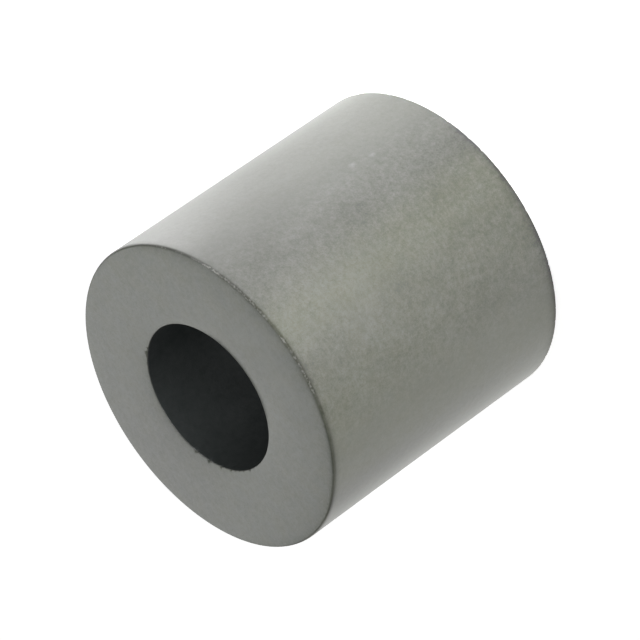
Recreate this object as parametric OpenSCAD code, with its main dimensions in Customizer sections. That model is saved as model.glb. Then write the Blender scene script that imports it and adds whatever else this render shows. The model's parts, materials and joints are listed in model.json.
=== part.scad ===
// Ferrite sleeve: a plain round suppression core that a cable or lead passes through.
// It is pressed and fired as one piece, so it is one solid, standing on its end.

/* [Sleeve] */
// Outside diameter of the wall
outer_d = 14.4; // [10:0.1:30]
// Diameter of the bore that the cable passes through
bore_d = 7.0; // [2:0.1:9]
// Length from end face to end face
sleeve_length = 13.8; // [5:0.1:40]

/* [Edges] */
// Radius of the tumbled edge between the wall and an end face
rim_radius = 0.08; // [0.05:0.01:0.2]
// Radius of the edge between the bore and an end face
mouth_radius = 0.08; // [0.03:0.01:0.2]

/* [Hidden] */
// Facets of a full turn
$fn = 180;
// How far a cutting shape reaches past the surface that it cuts
overcut = 0.1;
outer_r = outer_d / 2;
bore_r = bore_d / 2;
wall = outer_r - bore_r;
ferrite_grey = "#82837e";

// What a rounded edge takes off a square corner: the corner is at the origin,
// and the material lies towards -X and -Y.
module edge_waste(radius) {
    difference() {
        translate([-radius, -radius])
            square(radius + overcut);
        translate([-radius, -radius])
            circle(radius);
    }
}

// Half section of the wall, with X as the radius and Y as the height.
// Each end has a rounded rim outside and a rounded mouth inside.
module wall_section() {
    difference() {
        translate([bore_r, 0])
            square([wall, sleeve_length]);
        translate([outer_r, sleeve_length])
            edge_waste(rim_radius);
        translate([outer_r, 0])
            mirror([0, 1])
                edge_waste(rim_radius);
        translate([bore_r, sleeve_length])
            mirror([1, 0])
                edge_waste(mouth_radius);
        translate([bore_r, 0])
            rotate(180)
                edge_waste(mouth_radius);
    }
}

// The whole sleeve: the wall section turned about the bore's axis.
module ferrite_sleeve() {
    color(ferrite_grey)
        rotate_extrude()
            wall_section();
}

ferrite_sleeve();
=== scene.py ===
import json
import math
import random

import bpy
from mathutils import Euler, Matrix, Vector


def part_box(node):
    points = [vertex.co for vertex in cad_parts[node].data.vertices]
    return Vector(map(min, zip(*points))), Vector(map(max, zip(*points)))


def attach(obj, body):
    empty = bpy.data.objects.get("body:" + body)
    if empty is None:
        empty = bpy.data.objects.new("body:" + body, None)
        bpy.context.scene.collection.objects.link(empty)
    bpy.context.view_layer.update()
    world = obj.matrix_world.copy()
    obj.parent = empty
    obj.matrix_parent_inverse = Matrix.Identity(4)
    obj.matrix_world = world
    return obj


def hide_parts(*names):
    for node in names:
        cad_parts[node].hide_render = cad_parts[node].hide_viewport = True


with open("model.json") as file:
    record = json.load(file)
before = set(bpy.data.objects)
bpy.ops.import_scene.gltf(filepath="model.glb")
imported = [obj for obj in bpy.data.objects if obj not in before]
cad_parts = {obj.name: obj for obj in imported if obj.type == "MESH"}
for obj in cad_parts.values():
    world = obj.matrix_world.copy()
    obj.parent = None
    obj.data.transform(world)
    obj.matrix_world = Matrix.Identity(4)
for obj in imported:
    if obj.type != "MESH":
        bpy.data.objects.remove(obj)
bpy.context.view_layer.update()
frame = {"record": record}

mm = 0.001
low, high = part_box("ferrite_sleeve")
height = high.z - low.z
mounts = {mount["name"]: mount for mount in frame["record"]["mounts"]}
outerRadius = mounts["outer_wall"]["dims"]["r_mm"] * mm
print("frame loaded:", round(2 * outerRadius / mm, 2), "x", round(height / mm, 2), "mm sleeve")


def addNode(tree, kind, inputs=None, out=0, **settings):
    node = tree.nodes.new(kind)
    for name, value in settings.items():
        setattr(node, name, value)
    for key, value in (inputs or {}).items():
        if isinstance(value, bpy.types.NodeSocket):
            tree.links.new(value, node.inputs[key])
        else:
            node.inputs[key].default_value = value
    return node.outputs[out] if node.outputs else node


def linearColour(hexCode):  # sRGB hex to linear RGBA
    parts = [int(hexCode[i:i + 2], 16) / 255 for i in (1, 3, 5)]
    parts = [p / 12.92 if p <= 0.04045 else ((p + 0.055) / 1.055) ** 2.4 for p in parts]
    return (*parts, 1.0)


def addObject(name, data):
    thing = bpy.data.objects.new(name, data)
    bpy.context.scene.collection.objects.link(thing)
    return thing


# Sintered ferrite, pressed, fired, tumbled on the wall and ground on the ends. A dense dark ceramic
# with a high index: most of its grey is satin gloss, over a fine sandy grain and the soft clouds that
# the kiln and the tumbler leave.
ferrite = {
    "wall": "#5d5f55",        # tumbled skin
    "offSheenOlive": "#5c5f43",       # olive tint painted on the side where less sheen falls
    "offSheenOliveCool": "#5b6048",   # and where that is a little cooler
    "ground": "#5a5f4a",      # the ends, ground flat and cleaner
    "groundCool": "#585f51",
    "bore": "#444848",        # as fired, out of the tumbler's reach, and darker still as painted shade inside the bore
    "chip": "#eeeee6",        # painted glints: a pale colour in chips and on bevels for the sparkle of fresh breaks
    "ior": 2.2,               # a dense ferrite, less some for its open skin
    "roughness": 0.31,
    "rubbedRoughness": 0.9,   # where an edge is rubbed and its painted shade is darkest
    "grey": 0.11,             # a change of tone is a share of this, added evenly to the colour
    "hue": 0.8 * mm,          # patches of warmer and cooler grey
    # sides of the wall: middle in degrees round, cosine off it where it starts and where it is full
    "offSheenSide": (-125, 0.3, 0.8),
    # the side where the grain's tone is strongest: real grain with painted shading where the light rakes
    # across it
    "grainShadeSide": (-90, 0.70, 0.97),
    "grain": 0.3 * mm,        # the real grain is too fine to show, so it is drawn as coarse as this
    "wallGrain": 3.5,         # how far it changes the tone of the wall
    "offShadeGrainShare": 0.29,      # of that, off the side where the grain's painted shading is strongest
    "groundGrain": 1.7,       # and how far on the ends
    "vein": 0.16 * mm,        # worm-like lines in the grain, drawn coarse too
    "veinWidth": 0.05,
    "veinDepth": 0.06,
    "bumpHeight": 0.004 * mm,
    "cloud": 1.6 * mm,        # soft mottling from the kiln
    "cloudSwing": 1.2,
    "axialScale": 0.6,        # below 1, so clouds and scuffs are drawn out along the axis
    # bands of painted highlight and painted shade along the sleeve: face, middle and half width in degrees
    # round, change of tone up to a height, that height in mm, change of tone at the upper end
    "paintedLightBands": [
        ("wall", -86, 13, 0.06, 0.0, 0.38),
        ("wall", -120, 20, -0.24, 0.0, 0.22),
        ("wall", -67, 11, -0.36, 0.0, -0.10),
        ("wall", -55, 12, -0.10, 0.0, 0.10),
        ("wall", -155, 13, -0.08, 0.0, -0.42),
        # painted shade across one side of the end
        ("end", 100, 60, 0.0, 0.0, -0.25),
        # painted shade deep in the bore and painted highlight near its mouth
        ("bore", 88, 75, -0.55, 5.5, 1.0),
    ],
    # small pale marks: degrees round, height and half width in mm, change of tone
    "scuffs": [
        (-51.6, 4.96, 0.17, 0.8),
        (-52.9, 3.91, 0.15, 0.7),
        (-52.4, 4.35, 0.12, 0.3),
    ],
}


def makeFerrite():
    material = bpy.data.materials.new("sinteredFerrite")
    material.use_nodes = True
    tree = material.node_tree
    shader = tree.nodes["Principled BSDF"]
    shader.inputs["IOR"].default_value = ferrite["ior"]
    place = addNode(tree, "ShaderNodeTexCoord", out="Object")
    ground = addNode(tree, "ShaderNodeAttribute", out="Fac", attribute_name="ground")
    inBore = addNode(tree, "ShaderNodeAttribute", out="Fac", attribute_name="bore")
    chip = addNode(tree, "ShaderNodeAttribute", out="Fac", attribute_name="chip")
    rubbed = addNode(tree, "ShaderNodeAttribute", out="Fac", attribute_name="rubbed")

    # which sides of the wall get the olive tint painted for the sheen, and the grain that painted shading
    # brings out
    x, y, z = addNode(tree, "ShaderNodeSeparateXYZ", {0: place}).node.outputs
    angle = addNode(tree, "ShaderNodeMath", {0: y, 1: x}, operation="ARCTAN2")
    sides = []
    for middle, start, full in (ferrite["offSheenSide"], ferrite["grainShadeSide"]):
        off = addNode(tree, "ShaderNodeMath", {0: angle, 1: math.radians(middle)}, operation="SUBTRACT")
        off = addNode(tree, "ShaderNodeMath", {0: off}, operation="COSINE")
        sides.append(addNode(tree, "ShaderNodeMapRange", {0: off, 1: start, 2: full},
                             interpolation_type="SMOOTHSTEP"))
    offSheenOlive, grainShaded = sides

    # the colour of each finish
    hue = addNode(tree, "ShaderNodeTexNoise",
                  {"Vector": place, "Scale": 1 / ferrite["hue"], "Detail": 2.0})
    hue = addNode(tree, "ShaderNodeMapRange", {0: hue, 1: 0.3, 2: 0.7})
    colour = linearColour(ferrite["wall"])
    for mask, warm, cool in ((offSheenOlive, "offSheenOlive", "offSheenOliveCool"), (ground, "ground", "groundCool"),
                             (inBore, "bore", "bore")):
        warm = linearColour(ferrite[warm])
        cool = linearColour(ferrite[cool])
        finish = addNode(tree, "ShaderNodeMix", {0: hue, 6: warm, 7: cool}, out=2, data_type="RGBA")
        colour = addNode(tree, "ShaderNodeMix", {0: mask, 6: colour, 7: finish}, out=2,
                         data_type="RGBA")

    # sandy grain, with thin dark lines where a second noise crosses its middle
    sand = addNode(tree, "ShaderNodeTexNoise",
                   {"Vector": place, "Scale": 1 / ferrite["grain"], "Detail": 3.0, "Roughness": 1.0})
    sand = addNode(tree, "ShaderNodeMath", {0: sand, 1: 0.5}, operation="SUBTRACT")
    vein = addNode(tree, "ShaderNodeTexNoise",
                   {"Vector": place, "Scale": 1 / ferrite["vein"], "Detail": 1.0})
    vein = addNode(tree, "ShaderNodeMath", {0: vein, 1: 0.5}, operation="SUBTRACT")
    vein = addNode(tree, "ShaderNodeMath", {0: vein}, operation="ABSOLUTE")
    vein = addNode(tree, "ShaderNodeMapRange",
                   {0: vein, 1: 0.0, 2: ferrite["veinWidth"], 3: -ferrite["veinDepth"], 4: 0.0})
    sand = addNode(tree, "ShaderNodeMath", {0: sand, 1: vein}, operation="ADD")
    bump = addNode(tree, "ShaderNodeBump",
                   {"Height": sand, "Distance": ferrite["bumpHeight"], "Strength": 1.0})
    tree.links.new(bump, shader.inputs["Normal"])

    # the tone that the grain, the clouds and the scuffs add
    # grain and clouds are strongest on one side, as painted shading of the grain there
    share = addNode(tree, "ShaderNodeMapRange", {0: grainShaded, 3: ferrite["offShadeGrainShare"], 4: 1.0})
    swing = addNode(tree, "ShaderNodeMath", {0: share, 1: ferrite["wallGrain"]}, operation="MULTIPLY")
    swing = addNode(tree, "ShaderNodeMix", {0: ground, 2: swing, 3: ferrite["groundGrain"]})
    tone = addNode(tree, "ShaderNodeMath", {0: sand, 1: swing}, operation="MULTIPLY")
    drawn = addNode(tree, "ShaderNodeMapping",
                    {"Vector": place, "Scale": (1, 1, ferrite["axialScale"])})
    cloud = addNode(tree, "ShaderNodeTexNoise",
                    {"Vector": drawn, "Scale": 1 / ferrite["cloud"], "Detail": 1.0})
    cloud = addNode(tree, "ShaderNodeMath", {0: cloud, 1: 0.5}, operation="SUBTRACT")
    cloud = addNode(tree, "ShaderNodeMath", {0: cloud, 1: share}, operation="MULTIPLY")
    tone = addNode(tree, "ShaderNodeMath", {0: cloud, 1: ferrite["cloudSwing"], 2: tone},
                   operation="MULTIPLY_ADD")
    for turn, rise, size, change in ferrite["scuffs"]:
        turn = math.radians(turn)
        spot = (outerRadius * math.cos(turn), outerRadius * math.sin(turn),
                ferrite["axialScale"] * rise * mm)
        off = addNode(tree, "ShaderNodeVectorMath", {0: drawn, 1: spot}, out="Value",
                      operation="DISTANCE")
        scuff = addNode(tree, "ShaderNodeMapRange", {0: off, 1: size * mm, 2: 0.0, 4: change})
        tone = addNode(tree, "ShaderNodeMath", {0: tone, 1: scuff}, operation="ADD")
    tone = addNode(tree, "ShaderNodeMath", {0: tone, 1: ferrite["grey"]}, operation="MULTIPLY")

    # edges rubbed matt and darkened by painted shade, with some painted highlight, and bands of painted
    # highlight and painted shade along each face
    roughness = addNode(tree, "ShaderNodeMapRange",
                        {0: rubbed, 1: 0.0, 2: -1.0, 3: ferrite["roughness"],
                         4: ferrite["rubbedRoughness"]})
    tree.links.new(roughness, shader.inputs["Roughness"])
    onWall = addNode(tree, "ShaderNodeMath", {0: 1.0, 1: ground}, operation="SUBTRACT")
    onWall = addNode(tree, "ShaderNodeMath", {0: onWall, 1: inBore}, operation="SUBTRACT",
                     use_clamp=True)
    faces = {"wall": onWall, "bore": inBore, "end": ground}
    level = addNode(tree, "ShaderNodeMath", {0: rubbed, 1: 1.0}, operation="ADD")
    # each band is painted highlight where it lifts the tone and painted shade where it lowers it
    for face, middle, half, below, rise, above in ferrite["paintedLightBands"]:
        off = addNode(tree, "ShaderNodeMath", {0: angle, 1: math.radians(middle)}, operation="SUBTRACT")
        off = addNode(tree, "ShaderNodeMath", {0: off}, operation="ABSOLUTE")
        paintedTone = addNode(tree, "ShaderNodeMapRange", {0: z, 1: rise * mm, 2: height, 3: below, 4: above})
        paintedTone = addNode(tree, "ShaderNodeMath", {0: paintedTone, 1: faces[face]}, operation="MULTIPLY")
        band = addNode(tree, "ShaderNodeMapRange", {0: off, 1: math.radians(half), 2: 0.0},
                       interpolation_type="SMOOTHSTEP")
        level = addNode(tree, "ShaderNodeMath", {0: band, 1: paintedTone, 2: level}, operation="MULTIPLY_ADD")
    colour = addNode(tree, "ShaderNodeVectorMath", {0: colour, "Scale": level}, operation="SCALE")
    # painted glints: chips and bevels take a share of a pale colour
    colour = addNode(tree, "ShaderNodeMix", {0: chip, 6: colour, 7: linearColour(ferrite["chip"])},
                     out=2, data_type="RGBA")
    colour = addNode(tree, "ShaderNodeVectorMath", {0: colour, 1: tone}, operation="ADD")
    tree.links.new(colour, shader.inputs["Base Color"])
    return material


ferriteMaterial = makeFerrite()
print("material ready:", ferriteMaterial.name)

# The sleeve: half of its section is drawn as a closed outline, and a node tree turns it round the bore
# and chips, bevels and wears its edges
section = {
    "upperRim": (0.08 * mm, 0.13 * mm),  # the tumbled edges: across the end, along the wall
    "lowerRim": (0.04 * mm, 0.04 * mm),
    "upperMouth": (0.04 * mm, 0.04 * mm),
    "lowerMouth": (0.04 * mm, 0.04 * mm),
    "boreClose": 0.02 * mm,    # how far inside its named radius the bore was fired
    "crown": 0.03 * mm,        # the upper end is a little fuller in the middle of the wall
    "shoulder": 0.012 * mm,    # and lapped down further beside each edge
    "shoulderReach": 0.7 * mm,
    "outOfSquare": 0.04 * mm,  # how far the upper end leans
    "endSlope": (0.75, 0.95),  # upright part of the normal from the wall's finish to the end's
    "finishFade": 0.02 * mm,   # over which the bore's finish or a fresh break sets in
    "arcPoints": 8,            # on each rounded edge
    "runPoints": 9,            # from an edge to the middle of the flat beside it
    "runPower": 2.6,           # crowds those points towards the edge
    "turnPoints": 960,
}
boreRadius = mounts["bore"]["dims"]["r_mm"] * mm - section["boreClose"]
chipping = {
    "seed": 7,
    "flatness": 0.4,           # depth of a chip against its half width
    "ragged": 0.5,             # how far a chip's outline wanders
    "crumble": 1.4,            # and how far a bevel's does
    "raggedSize": 0.09 * mm,
    "mouthDepth": 0.05 * mm,   # how far down the bore the chips of its mouth sit
    # runs of chips: edge, end (the upper one is 1), from and to degrees round, how many, smallest and
    # largest half width in mm, how much of the painted glint colour
    "runs": [
        ("rim", 1, -84, -46, 16, 0.04, 0.10, 1.0),
        ("rim", 1, -114, -84, 16, 0.03, 0.09, 0.6),
        ("rim", 1, 0, 360, 24, 0.03, 0.06, 0.5),
        ("mouth", 1, 26, 44, 10, 0.04, 0.10, 0.0),
        ("mouth", 1, 114, 145, 12, 0.03, 0.10, 0.0),
        ("mouth", 1, 145, 172, 8, 0.03, 0.07, 0.0),
        ("rim", 0, 0, 360, 70, 0.03, 0.07, 0.0),
        ("mouth", 0, 0, 360, 30, 0.03, 0.09, 0.0),
    ],
    # stretches of the upper rim broken to a narrow bevel: middle and half width in degrees round, share
    # of the widest leg
    "bevels": [
        (-38, 16, 0.6),
        (-66, 19, 0.7),
        (-98, 14, 0.7),
    ],
    "bevel": 0.15 * mm,        # the widest leg
    "bevelFade": (1.25, 0.6),  # half widths off the middle where it starts and where it is full
    "bevelGlint": 0.55,         # most of the painted glint colour on it
    "glintSpecks": (0.35, 0.65),  # of the noise, from none of that colour to most
    # edges rubbed round, with painted shade along the rim and mouth: edge, end, middle and half width in
    # degrees round, depth, reach across the end and along the wall in mm, change of tone (painted shade
    # where it darkens, painted highlight where it lightens)
    "wearAndPaintedShade": [
        ("rim", 1, -80, 110, 0.0, 0.10, 0.42, -0.5),
        ("rim", 1, -110, 24, 0.0, 0.08, 0.55, -0.35),
        ("rim", 1, -60, 9, 0.0, 0.05, 0.30, -0.4),
        ("rim", 1, -75, 12, 0.0, 0.16, 0.16, 0.4),
        ("rim", 1, -131, 20, 0.030, 0.14, 0.70, -0.1),
        ("rim", 1, -32, 14, 0.012, 0.45, 0.12, -0.1),
        # painted shade beside the near side of the mouth, with no depth
        ("mouth", 1, -90, 32, 0.0, 0.30, 0.40, -0.75),
        ("rim", 0, -108, 40, 0.0, 0.30, 0.60, -0.8),
    ],
    "wearAndShadeFade": (1.5, 0.5),    # as bevelFade
}


def endDrop(x, width, upward):  # how far the upper end lies below its highest ring; the lower end is flat
    if upward < 0:
        return 0.0
    shoulder = max(0, 1 - (width - x) / section["shoulderReach"])
    return section["crown"] * (x / width) ** 2 + section["shoulder"] * shoulder ** 3


def cornerPoints(outward, upward, across, down):
    width = (outerRadius - boreRadius) / 2
    x = width - across  # centre of the rounded edge, from the section's middle
    slope = math.atan((endDrop(x, width, upward) - endDrop(x - across, width, upward)) / across)
    y = height / 2 - endDrop(x, width, upward) - down
    runs = [((k + 0.5) / section["runPoints"]) ** section["runPower"] for k in range(section["runPoints"])]
    turns = [(math.pi / 2 - slope) * (k + 0.5) / section["arcPoints"] for k in range(section["arcPoints"])]
    points = [(x + across, y * (1 - run)) for run in reversed(runs)]
    points += [(x + across * math.cos(turn), y + down * math.sin(turn)) for turn in turns]
    points += [(x * (1 - run), height / 2 - endDrop(x * (1 - run), width, upward)) for run in runs]
    points = [(outward * px, -upward * py, 0) for px, py in points]  # the sweep turns the section over
    return points[::-1] if outward == upward else points


def makeSection():
    points = []
    for outward, upward, edge in ((1, 1, "upperRim"), (-1, 1, "upperMouth"),
                                  (-1, -1, "lowerMouth"), (1, -1, "lowerRim")):
        points = cornerPoints(outward, upward, *section[edge]) + points
    mesh = bpy.data.meshes.new("section")
    mesh.from_pydata(points, [(k, (k + 1) % len(points)) for k in range(len(points))], [])
    return addObject("section", mesh)


def makeChipPoints():
    draw = random.Random(chipping["seed"])
    places, sizes, glints = [], [], []
    for edge, end, first, last, count, smallest, largest, pale in chipping["runs"]:
        radius = outerRadius if edge == "rim" else boreRadius
        depth = chipping["mouthDepth"] if edge == "mouth" else 0.0
        rise = height - depth if end else depth
        for k in range(count):
            angle = math.radians(first + (last - first) * (k + draw.random()) / count)
            places.append((radius * math.cos(angle), radius * math.sin(angle), rise))
            sizes.append((smallest + (largest - smallest) * draw.random() ** 2) * mm)  # few are large
            glints.append(pale)
    mesh = bpy.data.meshes.new("chipPoints")
    mesh.from_pydata(places, [], [])
    mesh.attributes.new("size", "FLOAT", "POINT").data.foreach_set("value", sizes)
    mesh.attributes.new("pale", "FLOAT", "POINT").data.foreach_set("value", glints)
    return addObject("chipPoints", mesh)


sleeveInputs = {
    "Turn radius": (outerRadius + boreRadius) / 2,
    "Turn points": section["turnPoints"],
    "Height": height,
    "Outer radius": outerRadius,
    "Bore radius": boreRadius,
    "Out of square": section["outOfSquare"],
    "Finish fade": section["finishFade"],
    "Bevel": chipping["bevel"],
    "Bevel pale": chipping["bevelGlint"],
    "Flatness": chipping["flatness"],
    "Ragged": chipping["ragged"],
    "Crumble": chipping["crumble"],
    "Ragged scale": 1 / chipping["raggedSize"],
}


def makeSleeveTree():
    tree = bpy.data.node_groups.new("turnedSleeve", "GeometryNodeTree")
    tree.interface.new_socket("Geometry", in_out="INPUT", socket_type="NodeSocketGeometry")
    tree.interface.new_socket("Geometry", in_out="OUTPUT", socket_type="NodeSocketGeometry")
    for name, value in sleeveInputs.items():
        kind = {int: "NodeSocketInt", float: "NodeSocketFloat"}[type(value)]
        tree.interface.new_socket(name, in_out="INPUT", socket_type=kind)
    tree.interface.new_socket("Chip points", in_out="INPUT", socket_type="NodeSocketObject")
    tree.interface.new_socket("Material", in_out="INPUT", socket_type="NodeSocketMaterial")
    given = tree.nodes.new("NodeGroupInput").outputs

    # turn the section round the axis and stand it on the floor
    outline = addNode(tree, "GeometryNodeMeshToCurve", {"Mesh": given["Geometry"]})
    path = addNode(tree, "GeometryNodeCurvePrimitiveCircle",
                   {"Resolution": given["Turn points"], "Radius": given["Turn radius"]})
    swept = addNode(tree, "GeometryNodeCurveToMesh", {"Curve": path, "Profile Curve": outline})
    half = addNode(tree, "ShaderNodeMath", {0: given["Height"], 1: 0.5}, operation="MULTIPLY")
    lift = addNode(tree, "ShaderNodeCombineXYZ", {2: half})
    body = addNode(tree, "GeometryNodeTransform", {"Geometry": swept, "Translation": lift})

    # how far a point is from the nearer end, the rim and the bore
    position = addNode(tree, "GeometryNodeInputPosition")
    normal = addNode(tree, "GeometryNodeInputNormal")
    y = addNode(tree, "ShaderNodeSeparateXYZ", {0: position}, out="Y")
    z = addNode(tree, "ShaderNodeSeparateXYZ", {0: position}, out="Z")
    above = addNode(tree, "ShaderNodeMath", {0: given["Height"], 1: z}, operation="SUBTRACT")
    upper = addNode(tree, "ShaderNodeMath", {0: z, 1: above}, operation="GREATER_THAN")
    lower = addNode(tree, "ShaderNodeMath", {0: 1.0, 1: upper}, operation="SUBTRACT")
    toEnd = addNode(tree, "ShaderNodeMath", {0: z, 1: above}, operation="MINIMUM")
    across = addNode(tree, "ShaderNodeVectorMath", {0: position, 1: (1, 1, 0)}, operation="MULTIPLY")
    outward = addNode(tree, "ShaderNodeVectorMath", {0: across}, operation="NORMALIZE")
    radius = addNode(tree, "ShaderNodeVectorMath", {0: across}, out="Value", operation="LENGTH")
    toRim = addNode(tree, "ShaderNodeMath", {0: given["Outer radius"], 1: radius}, operation="SUBTRACT")
    toBore = addNode(tree, "ShaderNodeMath", {0: radius, 1: given["Bore radius"]}, operation="SUBTRACT")

    # which finish a point has
    steep = addNode(tree, "ShaderNodeSeparateXYZ", {0: normal}, out="Z")
    steep = addNode(tree, "ShaderNodeMath", {0: steep}, operation="ABSOLUTE")
    wallSlope, endSlope = section["endSlope"]
    ground = addNode(tree, "ShaderNodeMapRange", {0: steep, 1: wallSlope, 2: endSlope})
    inBore = addNode(tree, "ShaderNodeMapRange", {0: toBore, 1: given["Finish fade"], 2: 0.0})

    # the worn stretches: the edge moves down and back into the wall as a whole, and their painted shade
    # and highlight are stored for the material
    wear, rubbed = (0, 0, 0), 0.0
    start, full = chipping["wearAndShadeFade"]
    for edge, end, middle, half, depth, endReach, wallReach, change in chipping["wearAndPaintedShade"]:
        turn = math.radians(middle)
        side = addNode(tree, "ShaderNodeVectorMath", {0: outward, 1: (math.cos(turn), math.sin(turn), 0)},
                       out="Value", operation="DOT_PRODUCT")
        here = addNode(tree, "ShaderNodeMapRange", {0: side, 1: math.cos(math.radians(start * half)),
                                                    2: math.cos(math.radians(full * half))},
                       interpolation_type="SMOOTHSTEP")
        inward, lean = {"rim": (toRim, -1), "mouth": (toBore, 1)}[edge]
        inward = addNode(tree, "ShaderNodeMath", {0: inward, 1: endReach * mm}, operation="DIVIDE")
        down = addNode(tree, "ShaderNodeMath", {0: toEnd, 1: wallReach * mm}, operation="DIVIDE")
        corner = addNode(tree, "ShaderNodeCombineXYZ", {0: inward, 1: down})
        corner = addNode(tree, "ShaderNodeVectorMath", {0: corner}, out="Value", operation="LENGTH")
        dip = addNode(tree, "ShaderNodeMath", {0: 1.0, 1: corner}, operation="SUBTRACT", use_clamp=True)
        dip = addNode(tree, "ShaderNodeMath", {0: dip, 1: dip}, operation="MULTIPLY")
        dip = addNode(tree, "ShaderNodeMath", {0: dip, 1: here}, operation="MULTIPLY")
        dip = addNode(tree, "ShaderNodeMath", {0: dip, 1: upper if end else lower}, operation="MULTIPLY")
        rubbed = addNode(tree, "ShaderNodeMath", {0: dip, 1: change, 2: rubbed}, operation="MULTIPLY_ADD")
        dip = addNode(tree, "ShaderNodeMath", {0: dip, 1: depth * mm}, operation="MULTIPLY")
        way = addNode(tree, "ShaderNodeVectorMath",
                      {0: outward, 1: (lean, lean, 0), 2: (0, 0, 1 - 2 * end)}, operation="MULTIPLY_ADD")
        way = addNode(tree, "ShaderNodeVectorMath", {0: way, "Scale": dip}, operation="SCALE")
        wear = addNode(tree, "ShaderNodeVectorMath", {0: way, 1: wear}, operation="ADD")

    # a noise by which the outlines of chips and bevels wander
    wander = addNode(tree, "ShaderNodeTexNoise", {"Scale": given["Ragged scale"], "Detail": 1.0})
    swing = addNode(tree, "ShaderNodeMath", {0: wander, 1: 0.5}, operation="SUBTRACT")
    stretch = addNode(tree, "ShaderNodeMath", {0: swing, 1: given["Ragged"], 2: 1.0},
                      operation="MULTIPLY_ADD")
    crumbled = addNode(tree, "ShaderNodeMath", {0: swing, 1: given["Crumble"], 2: 1.0},
                       operation="MULTIPLY_ADD")

    # the bevelled stretches: what lies outside the bevel's plane moves back to it
    leg = 0.0
    start, full = chipping["bevelFade"]
    for middle, half, share in chipping["bevels"]:
        turn = math.radians(middle)
        side = addNode(tree, "ShaderNodeVectorMath", {0: outward, 1: (math.cos(turn), math.sin(turn), 0)},
                       out="Value", operation="DOT_PRODUCT")
        here = addNode(tree, "ShaderNodeMapRange", {0: side, 1: math.cos(math.radians(start * half)),
                                                    2: math.cos(math.radians(full * half)), 4: share},
                       interpolation_type="SMOOTHSTEP")
        leg = addNode(tree, "ShaderNodeMath", {0: here, 1: leg}, operation="MAXIMUM")
    for factor in (crumbled, given["Bevel"], upper):
        leg = addNode(tree, "ShaderNodeMath", {0: leg, 1: factor}, operation="MULTIPLY")
    past = addNode(tree, "ShaderNodeMath", {0: toRim, 1: toEnd}, operation="ADD")
    past = addNode(tree, "ShaderNodeMath", {0: leg, 1: past}, operation="SUBTRACT")
    past = addNode(tree, "ShaderNodeMath", {0: past, 1: 0.0}, operation="MAXIMUM")
    # painted glints: pale specks along the bevels
    dull, bright = chipping["glintSpecks"]
    speck = addNode(tree, "ShaderNodeMapRange", {0: wander, 1: dull, 2: bright, 4: given["Bevel pale"]})
    bevelGlintShare = addNode(tree, "ShaderNodeMapRange", {0: past, 1: 0.0, 2: given["Finish fade"], 4: speck})
    past = addNode(tree, "ShaderNodeMath", {0: past, 1: -0.5}, operation="MULTIPLY")
    back = addNode(tree, "ShaderNodeVectorMath", {0: outward, 1: (0, 0, 1)}, operation="ADD")
    back = addNode(tree, "ShaderNodeVectorMath", {0: back, "Scale": past}, operation="SCALE")

    # each chip is a ragged scoop out of the edge
    chips = addNode(tree, "GeometryNodeObjectInfo", {"Object": given["Chip points"]}, out="Geometry")
    near = addNode(tree, "GeometryNodeProximity", {0: chips}, out="Distance", target_element="POINTS")
    nearest = addNode(tree, "GeometryNodeSampleNearest", {0: chips}, domain="POINT")
    named = addNode(tree, "GeometryNodeInputNamedAttribute", {"Name": "size"}, data_type="FLOAT")
    size = addNode(tree, "GeometryNodeSampleIndex", {0: chips, 1: named, 2: nearest},
                   domain="POINT", data_type="FLOAT")
    named = addNode(tree, "GeometryNodeInputNamedAttribute", {"Name": "pale"}, data_type="FLOAT")
    pale = addNode(tree, "GeometryNodeSampleIndex", {0: chips, 1: named, 2: nearest},
                   domain="POINT", data_type="FLOAT")
    reach = addNode(tree, "ShaderNodeMath", {0: near, 1: stretch}, operation="DIVIDE")
    inside = addNode(tree, "ShaderNodeMath", {0: reach, 1: size}, operation="DIVIDE")
    inside = addNode(tree, "ShaderNodeMath", {0: inside, 1: inside}, operation="MULTIPLY")
    inside = addNode(tree, "ShaderNodeMath", {0: 1.0, 1: inside}, operation="SUBTRACT", use_clamp=True)
    scoop = addNode(tree, "ShaderNodeMath", {0: inside}, operation="SQRT")
    scoop = addNode(tree, "ShaderNodeMath", {0: scoop, 1: size}, operation="MULTIPLY")
    scoop = addNode(tree, "ShaderNodeMath", {0: scoop, 1: given["Flatness"]}, operation="MULTIPLY")
    sink = addNode(tree, "ShaderNodeMath", {0: scoop, 1: -1.0}, operation="MULTIPLY")
    offset = addNode(tree, "ShaderNodeVectorMath", {0: normal, "Scale": sink}, operation="SCALE")
    # painted glints: the share of the pale colour in each chip, and along the bevels
    glintShare = addNode(tree, "ShaderNodeMath", {0: inside, 1: pale}, operation="MULTIPLY")
    glintShare = addNode(tree, "ShaderNodeMath", {0: glintShare, 1: bevelGlintShare}, operation="MAXIMUM")

    # the upper end leans, and less and less of that reaches down to the lower end
    tilt = addNode(tree, "ShaderNodeMath", {0: y, 1: given["Outer radius"]}, operation="DIVIDE")
    tilt = addNode(tree, "ShaderNodeMapRange", {0: tilt, 1: -1.0, 2: 1.0, 4: given["Out of square"]})
    rise = addNode(tree, "ShaderNodeMath", {0: z, 1: given["Height"]}, operation="DIVIDE")
    tilt = addNode(tree, "ShaderNodeMath", {0: tilt, 1: rise}, operation="MULTIPLY")
    tilt = addNode(tree, "ShaderNodeCombineXYZ", {2: tilt})

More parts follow.
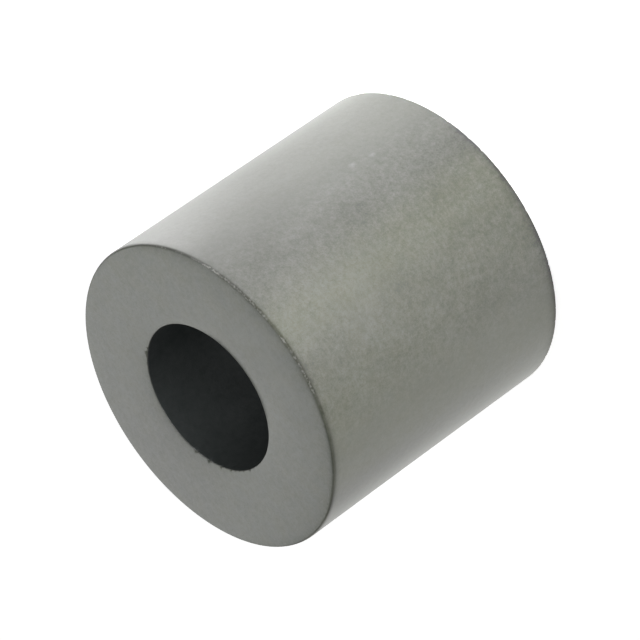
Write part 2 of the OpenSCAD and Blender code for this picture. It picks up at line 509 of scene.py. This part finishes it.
    for name, field in (("ground", ground), ("bore", inBore), ("chip", glintShare), ("rubbed", rubbed)):
        body = addNode(tree, "GeometryNodeStoreNamedAttribute",
                       {"Geometry": body, "Name": name, "Value": field}, domain="POINT", data_type="FLOAT")
    for more in (back, wear, tilt):
        offset = addNode(tree, "ShaderNodeVectorMath", {0: offset, 1: more}, operation="ADD")
    body = addNode(tree, "GeometryNodeSetPosition", {"Geometry": body, "Offset": offset})
    body = addNode(tree, "GeometryNodeSetShadeSmooth", {"Geometry": body})
    body = addNode(tree, "GeometryNodeRealizeInstances", {"Geometry": body})
    body = addNode(tree, "GeometryNodeSetMaterial", {"Geometry": body, "Material": given["Material"]})
    addNode(tree, "NodeGroupOutput", {"Geometry": body})
    return tree


def bakeTree(name, host, tree, values):  # a plain mesh out of a host with the tree on it
    modifier = host.modifiers.new("shape", "NODES")
    modifier.node_group = tree
    for item in tree.interface.items_tree:
        if item.in_out == "INPUT" and item.name in values:
            modifier[item.identifier] = values[item.name]
    graph = bpy.context.evaluated_depsgraph_get()
    mesh = bpy.data.meshes.new_from_object(host.evaluated_get(graph))
    bpy.data.objects.remove(host)
    return addObject(name, mesh)


chipPoints = makeChipPoints()
sleeve = bakeTree("sleeve", makeSection(), makeSleeveTree(),
                  {**sleeveInputs, "Chip points": chipPoints, "Material": ferriteMaterial})
bpy.data.objects.remove(chipPoints)
print("sleeve made:", len(sleeve.data.polygons), "faces")
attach(sleeve, "root")
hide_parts("ferrite_sleeve")

# The floor is white to the camera and in reflections, and still takes the sleeve's shadow
floorLook = {
    "size": 2.4,  # metres
    "colour": "#f2f2f2",
    "glow": 0.7,
}
bpy.ops.mesh.primitive_plane_add(size=floorLook["size"])
floor = bpy.context.object
floor.name = "floor"


def makeFloor():
    material = bpy.data.materials.new("paleFloor")
    material.use_nodes = True
    tree = material.node_tree
    shader = tree.nodes["Principled BSDF"]
    shader.inputs["Base Color"].default_value = linearColour(floorLook["colour"])
    shader.inputs["Roughness"].default_value = 1.0
    shader.inputs["Specular IOR Level"].default_value = 0.0
    shader.inputs["Emission Color"].default_value = (1, 1, 1, 1)
    ray = tree.nodes.new("ShaderNodeLightPath").outputs
    seen = addNode(tree, "ShaderNodeMath", {0: ray["Is Camera Ray"], 1: ray["Is Glossy Ray"]},
                   operation="MAXIMUM")
    seen = addNode(tree, "ShaderNodeMath", {0: seen, 1: ray["Is Transmission Ray"]}, operation="MAXIMUM")
    glow = addNode(tree, "ShaderNodeMath", {0: seen, 1: floorLook["glow"]}, operation="MULTIPLY")
    tree.links.new(glow, shader.inputs["Emission Strength"])
    return material


floor.data.materials.append(makeFloor())

# Studio: most of the sleeve's light comes off the white floor, so small lamps shine down beside it, and
# soft panels stand behind, beside and above it. What lies between stays dark, which draws the thin line
# of the rim.
# Lamps: degrees round from +X, distance from the axis, distance of the spot that it is aimed at and
# width in mm, spread in degrees, level
floorLamps = {
    "sideOuter": (28, 28, 28, 20, 60, 1.36),
    "sideFar": (4, 38, 38, 20, 60, 2.8),
    "sideFoot": (-22, 34, 10, 12, 36, 1.8),
    "front": (270, 28, 28, 20, 60, 1.28),
    "frontCorner": (-50, 32, 32, 20, 60, 0.95),
    "backFoot": (130, 34, 10, 12, 36, 0.4),
}
panels = {  # degrees round, degrees up, width and height in mm, level
    "backLow": (88, 19, 80, 24, 1.4),
    "back": (87, 33, 60, 40, 1.26),
    "frontTop": (-97, 47, 50, 30, 6.5),
    "side": (-25, 38, 50, 30, 3.0),
}
lampHeight = 30 * mm
panelDistance = 150 * mm  # from the middle of the upper end
panelSpread = 180
ceiling = 0.25  # of the world, seen by everything but the camera


def makeLamp(name, wide, tall, level, place, spread, aim):
    light = bpy.data.lights.new(name, "AREA")
    light.shape = "RECTANGLE"
    light.size = wide * mm
    light.size_y = tall * mm
    light.energy = level * math.pi * light.size * light.size_y
    light.spread = math.radians(spread)
    lamp = addObject(name, light)
    lamp.location = place
    lamp.rotation_euler = (aim - place).to_track_quat("-Z", "Y").to_euler()
    lamp.visible_camera = False


for name, (azimuth, distance, aim, wide, spread, level) in floorLamps.items():
    outward = Matrix.Rotation(math.radians(azimuth), 3, "Z") @ Vector((1, 0, 0))
    place = outward * distance * mm + Vector((0, 0, lampHeight))
    makeLamp(name, wide, wide, level, place, spread, outward * aim * mm)
upperEnd = Vector((0, 0, height))
for name, (azimuth, rise, wide, tall, level) in panels.items():
    turn = Euler((0, -math.radians(rise), math.radians(azimuth))).to_matrix()
    place = upperEnd + turn @ Vector((panelDistance, 0, 0))
    makeLamp(name, wide, tall, level, place, panelSpread, upperEnd)
world = bpy.data.worlds.new("studio")
bpy.context.scene.world = world
world.use_nodes = True
background = world.node_tree.nodes["Background"]
seen = addNode(world.node_tree, "ShaderNodeLightPath", out="Is Camera Ray")
strength = addNode(world.node_tree, "ShaderNodeMapRange", {0: seen, 3: ceiling, 4: 1.0})
world.node_tree.links.new(strength, background.inputs["Strength"])
background.inputs["Color"].default_value = (1, 1, 1, 1)
print("studio ready:", len(floorLamps) + len(panels), "lamps")

# Camera at the photograph's angle, rolled so that the sleeve's upper end points down to the left
view = {
    "lens": 279.25,
    "sensor": 36.0,
    "distance": 209.89 * mm,
    "elevation": math.radians(33.552),
    "roll": math.radians(-125.05),
    "aim": Vector((-0.041 * mm, 0.0, 6.963 * mm)),
    "clipStart": 1 * mm,
}
camera = addObject("camera", bpy.data.cameras.new("camera"))
turned = Euler((math.pi / 2 - view["elevation"], 0, 0)).to_matrix() @ Matrix.Rotation(view["roll"], 3, "Z")
camera.matrix_world = Matrix.Translation(view["aim"] + turned.col[2] * view["distance"]) @ turned.to_4x4()
camera.data.lens = view["lens"]
camera.data.sensor_width = view["sensor"]
camera.data.clip_start = view["clipStart"]
bpy.context.scene.camera = camera
bpy.context.scene.view_settings.view_transform = "Standard"

print("done")
